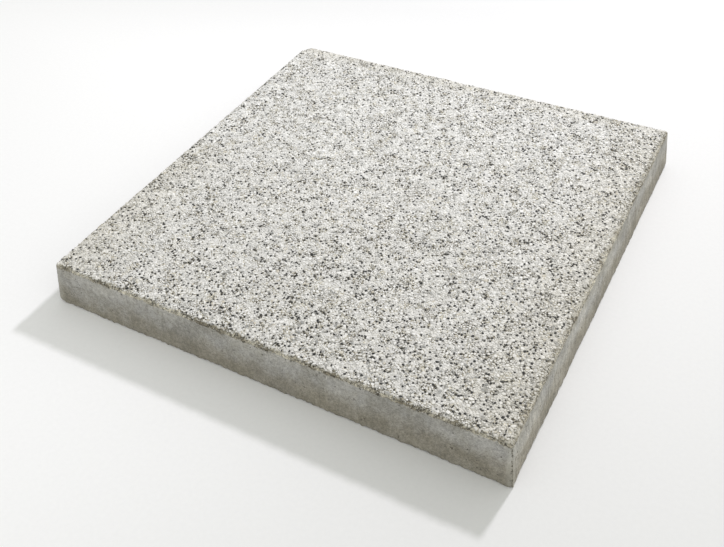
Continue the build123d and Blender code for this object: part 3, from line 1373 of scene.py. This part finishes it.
# Painted shade: a darker strip under the arris of the right side.
SHADE_UNDER_RIGHT_ARRIS = rgba(0.94, 0.93, 0.90)
SKIN_FALLS_TO_RIGHT, SKIN_FALLS_TO_LEFT_FRONT = 0.7, 0.3
SKIN_SWAYS = [(80 * MM, 9 * MM), (14 * MM, 5 * MM)]
LOWER_TO_UPPER, UPPER_TO_TOP = (8 * MM, 35 * MM), (34 * MM, 44 * MM)
ON_RIGHT = (HALF_FACE - 2.5 * MM, HALF_FACE - 0.5 * MM)
# Painted light and shade on the right side: a paler belt, and the rest a little darker.
BELT_FOOT, BELT_TOP = (-2 * MM, 22 * MM), (46 * MM, 35 * MM)
BELT_PAINTED_LIGHT, BELT_SWAY_SIZE, BELT_SWAY, RIGHT_PAINTED_SHADE = 0.19, 22 * MM, 0.26, -0.04
SLOW_SIZE, SLOW_SWAY = 50 * MM, 0.20
# Heights of the painted shade under the right arris.
SHADE_UNDER_ARRIS_HEIGHTS = (30 * MM, 42 * MM)
STREAKS, MORE_STREAKS_ON_RIGHT = 0.09, 0.15


def paste(tree, vector, pale, deep, mottle, streaks, sand, pores):
    """Cement paste between two colours, with its own strengths."""
    return use(tree, cement_paste, {"Vector": vector, "Pale": pale, "Deep": deep, "Mottle": mottle,
                                    "Streaks": streaks, "Sand": sand, "Pores": pores})


def side_skin(tree, vector, height):
    """The skin that the mould left, from brown grey below to blue grey above, with painted light and shade
    on the right side.
    """
    x, y, _ = coordinates(tree, vector)
    front = total(tree, times(tree, x, SKIN_FALLS_TO_RIGHT), times(tree, y, -SKIN_FALLS_TO_LEFT_FRONT))
    higher = times(tree, front, -HIGHER_TO_FRONT / HALF_SLAB)
    sways = [sway(tree, vector, size, amount) for size, amount in SKIN_SWAYS]
    wandering = total(tree, height, higher, *sways)
    grey = mix(tree, between(tree, wandering, *LOWER_TO_UPPER), SKIN_LOWER, SKIN_UPPER)
    grey = mix(tree, between(tree, wandering, *UPPER_TO_TOP), grey, SKIN_TOP)
    on_right = between(tree, x, *ON_RIGHT)
    # Painted light: a paler belt on the right side, with painted shade on the rest of it.
    belt = times(tree, between(tree, wandering, *BELT_FOOT), between(tree, height, *BELT_TOP))
    painted_belt_and_shade = times(tree, belt, total(tree, BELT_PAINTED_LIGHT, sway(tree, vector, BELT_SWAY_SIZE, BELT_SWAY)))
    painted_belt_and_shade = times(tree, on_right, total(tree, painted_belt_and_shade, RIGHT_PAINTED_SHADE))
    grey = tinted(tree, grey, total(tree, 1.0, sway(tree, vector, SLOW_SIZE, SLOW_SWAY), painted_belt_and_shade))
    # Painted shade in a strip under the right arris.
    shade_under_arris = times(tree, on_right, between(tree, wandering, *SHADE_UNDER_ARRIS_HEIGHTS))
    grey = tinted(tree, grey, SHADE_UNDER_RIGHT_ARRIS, shade_under_arris)
    deep = tinted(tree, grey, SKIN_DEEP)
    streaks = total(tree, STREAKS, times(tree, on_right, MORE_STREAKS_ON_RIGHT))
    return paste(tree, vector, grey, deep, mottle=0.12, streaks=streaks, sand=0.42, pores=1.3)


print("the border in the skin sways by", [round(amount / MM, 1) for _, amount in SKIN_SWAYS], "mm")

# %% [markdown]
# The upright edges are rubbed: each has a dark crumbled line between two paler strips, which are
# partly rubbed wear and partly a painted highlight along the rounded edge. The distance from the
# slab's two diagonals finds them, because every upright edge lies on one of these.

# %% Rubbed upright edges, with painted highlight
# The pale strips are partly rubbed wear and partly painted highlight along the rounded edges.
RUBBED_PALE_AND_HIGHLIGHT, RUBBED_DARK = rgba(0.50, 0.485, 0.43), rgba(0.11, 0.10, 0.075)
EDGE_SWAY_SIZE, EDGE_SWAY = 3 * MM, 0.8 * MM
RUBBED_AND_HIGHLIT_STRIP, RUBBED_LINE = (8 * MM, 3 * MM), (1.5 * MM, 0.7 * MM)
RUBBED_AND_HIGHLIT_STRENGTH, LINE_PATCH = 0.3, 4 * MM


def rubbed_and_highlit_edge(tree, vector, colour):
    """The upright edges: a dark crumbled line, with a strip of rubbing and painted highlight on both sides
    of it.
    """
    x, y, _ = coordinates(tree, vector)
    away = maths(tree, "SUBTRACT", maths(tree, "ABSOLUTE", x), maths(tree, "ABSOLUTE", y))
    away = maths(tree, "ABSOLUTE", away)
    away = total(tree, away, sway(tree, vector, EDGE_SWAY_SIZE, EDGE_SWAY))
    # Painted highlight, partly rubbed wear: the pale strips.
    paler_rubbed_and_highlit = times(tree, between(tree, away, *RUBBED_AND_HIGHLIT_STRIP), RUBBED_AND_HIGHLIT_STRENGTH)
    broken = patches(tree, vector, LINE_PATCH)
    darker = times(tree, between(tree, away, *RUBBED_LINE), broken)
    rubbed_and_highlit = mix(tree, paler_rubbed_and_highlit, colour, RUBBED_PALE_AND_HIGHLIGHT)
    return mix(tree, darker, rubbed_and_highlit, RUBBED_DARK)


print(f"each edge is rubbed {RUBBED_AND_HIGHLIT_STRIP[0] / MM:.0f} mm wide on both sides")

# %% [markdown]
# Just under the face the skin is washed away in a torn tan band. The bed is sandier than the skin,
# and the foot is darkened with painted contact shade where it meets the floor. All of these lie one
# above the other, so the height picks between them.

# %% Finish of the cast body
BAND_PALE, BAND_DEEP = rgba(0.46, 0.43, 0.35), rgba(0.17, 0.15, 0.11)
BED_PALE, BED_DEEP = rgba(0.82, 0.81, 0.785), rgba(0.67, 0.66, 0.635)
BAND_DEPTH = 4.4 * MM
# Painted contact shade: the foot darkens where it meets the floor.
CONTACT_SHADE_DEPTH = 2.5 * MM
WALL_TORN = (1.5 * MM, 1.0 * MM)
BAND_EDGE = (BED_HEIGHT - BAND_DEPTH - 0.3 * MM, BED_HEIGHT - BAND_DEPTH + 0.3 * MM)
BED_EDGE = (BED_HEIGHT - 0.6 * MM, BED_HEIGHT + 0.1 * MM)
BED_TAN = 0.8
# Colour and strength of the painted contact shade at the foot.
CONTACT_SHADE, CONTACT_SHADE_STRENGTH = rgba(0.13, 0.12, 0.09), 0.5
CASTING_ROUGHNESS = 0.85


def body_material():
    """The concrete of the casting: skin, washed band, bed and a foot with painted contact shade, one above
    the other.
    """
    material, tree, shader, vector = new_material("cast_concrete")
    height = coordinates(tree, vector)[2]
    skin = side_skin(tree, vector, height)
    bed = paste(tree, vector, BED_PALE, BED_DEEP, mottle=0.2, streaks=0.0, sand=0.5, pores=0.6)
    band = paste(tree, vector, BAND_PALE, BAND_DEEP, mottle=0.5, streaks=0.0, sand=1.3, pores=1.0)
    border = torn(tree, vector, height, *WALL_TORN)
    rubbed_and_highlit = rubbed_and_highlit_edge(tree, vector, skin["Colour"])
    banded = mix(tree, between(tree, border, *BAND_EDGE), rubbed_and_highlit, band["Colour"])
    in_bed = between(tree, border, *BED_EDGE)
    worn_and_shaded_bed = use(tree, weathering_and_shade, {"Vector": vector, "Colour": bed["Colour"], "Tan": BED_TAN})["Colour"]
    bedded = mix(tree, in_bed, banded, worn_and_shaded_bed)
    # Painted contact shade at the foot.
    contact_shaded = times(tree, between(tree, border, CONTACT_SHADE_DEPTH, 0.0), CONTACT_SHADE_STRENGTH)
    colour = mix(tree, contact_shaded, bedded, CONTACT_SHADE)
    finish(tree, shader, colour, skin["Height"], CASTING_ROUGHNESS, BUMP_DEPTH)
    return material


cast_body.data.materials.clear()
cast_body.data.materials.append(body_material())
print("cast_body wears", cast_body.data.materials[0].name)

# %% [markdown]
# ## Ride and replace
#
# The slab is one body, so every piece rides on `root`. The cast body stands for the imported node,
# which is hidden.

# %% Tie the pieces to the frame
for piece in [cast_body, fine_chippings, sand_grit, arris_grit, *chippings.values()]:
    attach(piece, "root")
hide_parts("paving_slab")
print("pieces ride on root")

# %% [markdown]
# ## Floor and light
#
# The slab lies on a white sheet that runs out of the picture. One lamp stands behind it and to the
# right, so the shadow falls to the front left and every chipping has a small shadow of its own. The
# rest is even light from all round. The lamp is tinted faintly blue and the even light faintly
# yellow. The sheet is painted a little greyer towards the right, as painted shade where less light
# falls, and towards the back, as painted shade where the lamp would otherwise burn it out.

# %% Floor
FLOOR_HALF = 4.0
# Painted shade: the sheet is greyer towards the right, where less light falls, and towards the back, where
# the lamp would burn it out.
SHEET_LEFT, SHADED_SHEET_RIGHT = rgba(0.925, 0.922, 0.923), rgba(0.738, 0.736, 0.728)
SHADED_SHEET_BACK = rgba(0.75, 0.75, 0.75)
SHADE_TO_RIGHT_ON_FLOOR, SHADE_TO_BACK_ON_FLOOR = (-0.26, 0.34), (0.15, 0.6)
FAINT_SIZE, FAINT_SWAY = 4 * MM, 0.014
SHEET_ROUGHNESS, SHEET_BUMP = 0.6, 0.1 * MM


def floor_material():
    """White sheet, with painted shade towards the right and the back."""
    material, tree, shader, vector = new_material("studio_floor")
    x, y, _ = coordinates(tree, vector)
    # Painted shade towards the right and the back.
    sheet = mix(tree, between(tree, x, *SHADE_TO_RIGHT_ON_FLOOR), SHEET_LEFT, SHADED_SHEET_RIGHT)
    sheet = mix(tree, between(tree, y, *SHADE_TO_BACK_ON_FLOOR), sheet, SHADED_SHEET_BACK)
    faint = total(tree, 1.0, sway(tree, vector, FAINT_SIZE, FAINT_SWAY))
    finish(tree, shader, tinted(tree, sheet, faint), faint, SHEET_ROUGHNESS, SHEET_BUMP)
    return material


corners = [(-FLOOR_HALF, -FLOOR_HALF, 0), (FLOOR_HALF, -FLOOR_HALF, 0),
           (FLOOR_HALF, FLOOR_HALF, 0), (-FLOOR_HALF, FLOOR_HALF, 0)]
floor = new_piece("studio_floor", corners, [(0, 1, 2, 3)])
floor.data.materials.append(floor_material())
print("floor", floor.name)

# %% [markdown]
# A lamp this near would light the front of the slab much less than the back. In a studio reflectors
# even out a part of that. Here the lamp's own nodes do it: the linear output of the Light Falloff node
# gives back half of what the distance takes away, and is set so that the lamp keeps its power at the
# middle of the slab. The even light comes from the world, a little more of it from the right, as from
# a reflector there.

# %% Lamp and even light
KEY_PLACE = np.array([0.23, 1.19, 1.19])
KEY_POWER = 15.5
KEY_WIDE = 0.15
EVEN_LIGHT = 0.775
MORE_FROM_RIGHT = 0.42
KEY_TINT, EVEN_TINT = (1.0, 0.98, 1.045), rgba(1.0, 1.012, 0.975)


def aim(thing, place, target):
    """Put a lamp or camera at a place, looking at a target."""
    back = np.array(place) - np.array(target)
    back = back / np.linalg.norm(back)
    right = np.cross([0, 0, 1], back)
    right = right / np.linalg.norm(right)
    turn = Matrix(np.stack([right, np.cross(back, right), back], axis=-1).tolist())
    thing.matrix_world = Matrix.Translation(place) @ turn.to_4x4()


lamp = bpy.data.objects.new("key_lamp", bpy.data.lights.new("key_lamp", "AREA"))
lamp.data.shape = "DISK"
lamp.data.size = KEY_WIDE
lamp.data.energy = KEY_POWER
lamp.data.color = KEY_TINT
lamp.data.use_nodes = True
lamp_tree = lamp.data.node_tree
falloff = add(lamp_tree, "ShaderNodeLightFalloff", {"Strength": 1 / np.linalg.norm(KEY_PLACE)})
lamp_tree.links.new(falloff.outputs["Linear"], lamp_tree.nodes["Emission"].inputs["Strength"])
bpy.context.scene.collection.objects.link(lamp)
aim(lamp, KEY_PLACE, (0, 0, 0))

world = bpy.data.worlds.new("even_light")
world.use_nodes = True
world_tree = world.node_tree
background = world_tree.nodes["Background"]
background.inputs["Color"].default_value = EVEN_TINT
direction = add(world_tree, "ShaderNodeTexCoord").outputs["Generated"]
more = times(world_tree, coordinates(world_tree, direction)[0], EVEN_LIGHT * MORE_FROM_RIGHT)
world_tree.links.new(total(world_tree, more, EVEN_LIGHT), background.inputs["Strength"])
bpy.context.scene.world = world
bpy.context.scene.view_settings.view_transform = "Standard"
print("lamp at", KEY_PLACE)

# %% [markdown]
# ## Camera
#
# The camera's place was worked out from the straight edges of the slab in the photograph: how far
# round the slab it stands, how high it looks down, how far it is rolled, and its lens. Its place was
# found in sides of the face, which is taken to be 486.5 mm here. The picture is 724 by 547 pixels.

# %% Camera at the photograph's view
PICTURE_WIDE = 724
LENS_PIXELS = 854.4
SENSOR = 36.0
AZIMUTH, ELEVATION, ROLL = math.radians(30.77), math.radians(43.07), math.radians(3.29)
FITTED_FACE = 0.4865
CAMERA_PLACE = np.array([0.722, -1.320, 1.266]) * FITTED_FACE


def camera_turn():
    """The camera's own axes as a rotation matrix."""
    back = np.array([math.sin(AZIMUTH) * math.cos(ELEVATION),
                     -math.cos(AZIMUTH) * math.cos(ELEVATION), math.sin(ELEVATION)])
    right = np.cross(-back, [0, 0, 1])
    right /= np.linalg.norm(right)
    down = np.cross(-back, right)
    rolled_right = math.cos(ROLL) * right + math.sin(ROLL) * down
    rolled_down = math.cos(ROLL) * down - math.sin(ROLL) * right
    return Matrix(np.stack([rolled_right, -rolled_down, back], axis=-1).tolist())


camera = bpy.data.objects.new("camera", bpy.data.cameras.new("camera"))
camera.data.sensor_width = SENSOR
camera.data.lens = LENS_PIXELS / PICTURE_WIDE * SENSOR
bpy.context.scene.collection.objects.link(camera)
camera.matrix_world = Matrix.Translation(CAMERA_PLACE) @ camera_turn().to_4x4()
bpy.context.scene.camera = camera
print(f"lens {camera.data.lens:.1f} mm")
